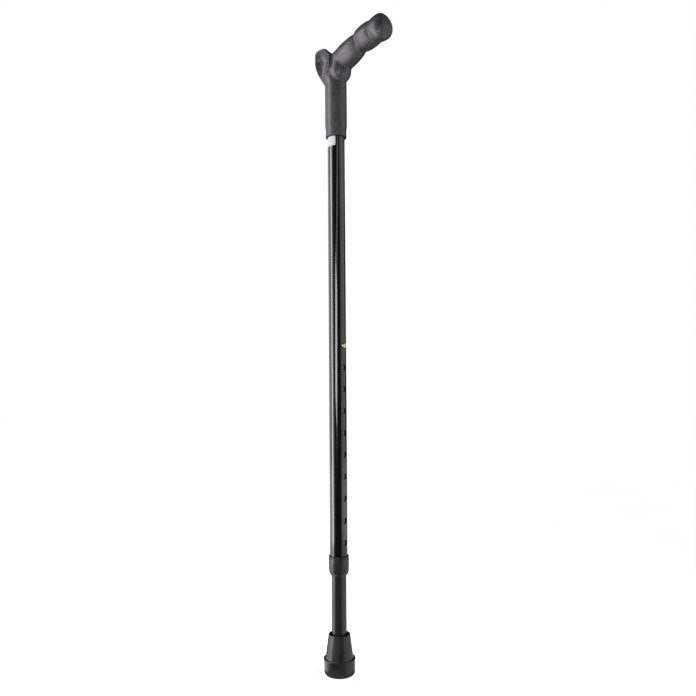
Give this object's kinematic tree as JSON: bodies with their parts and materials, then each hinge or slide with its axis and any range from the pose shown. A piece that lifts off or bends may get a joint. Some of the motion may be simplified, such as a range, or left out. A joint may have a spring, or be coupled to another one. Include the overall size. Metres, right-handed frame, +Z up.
{
  "type": "walking cane",
  "caption": "Height-adjustable single-tip walking cane with an anatomical palm grip, push-button telescopic shaft, screw locking collar and rubber ferrule.",
  "frame": {"origin": "centre of the ferrule's base, on the shaft's axis", "axes": "+Z up the shaft, +X the way the grip's nose points, +Y to the left of a user who faces along +X"},
  "size_m": [0.1109, 0.0385, 0.7345],
  "materials": {
    "grip_plastic": "fine moulded grain",
    "core_nylon": "natural nylon",
    "screw_steel": "blackened",
    "upper_tube_gloss": "gloss black paint over aluminium",
    "label_white": "blank satin film",
    "collar_plastic": "light moulded grain",
    "lower_tube_satin": "satin black anodised",
    "spring_steel": "spring temper",
    "button_brass": "polished",
    "washer_steel": "zinc plated",
    "ferrule_rubber": "matte moulded rubber"
  },
  "bodies": {
    "upper_shaft": {"handle_grip": "grip_plastic", "handle_core": "core_nylon", "handle_screw": "screw_steel", "upper_tube": "upper_tube_gloss", "label_sticker": "label_white", "collet_bush": "core_nylon"},
    "clamp_ring": {"compression_ring": "core_nylon"},
    "collar": {"locking_collar": "collar_plastic"},
    "lower_shaft": {"lower_tube": "lower_tube_satin", "guide_plug": "core_nylon", "button_spring": "spring_steel", "ferrule_washer": "washer_steel", "rubber_ferrule": "ferrule_rubber"},
    "button": {"snap_button": "button_brass"}
  },
  "joints": [
    {"name": "collar_travel", "type": "slide", "parent": "upper_shaft", "child": "clamp_ring", "axis": [0, 0, -1], "range_m": [0, 0.0015]},
    {"name": "collar_twist", "type": "hinge", "parent": "clamp_ring", "child": "collar", "pos_m": [0, 0, 0.12], "axis": [0, 0, -1], "range_deg": [0, 270]},
    {"name": "height_slide", "type": "slide", "parent": "upper_shaft", "child": "lower_shaft", "axis": [0, 0, -1], "range_m": [0, 0.225], "deforming": ["snap_button", "button_spring"]},
    {"name": "button_press", "type": "slide", "parent": "lower_shaft", "child": "button", "axis": [-0.9744, -0.225, 0], "range_m": [0, 0.0034], "stiffness_N_per_m": 3000, "springref_m": -0.0002, "deforming": ["button_spring"]}
  ],
  "couplings": [
    {"joint": "collar_twist", "follows": "collar_travel", "rad_per_m": 3141.5}
  ]
}
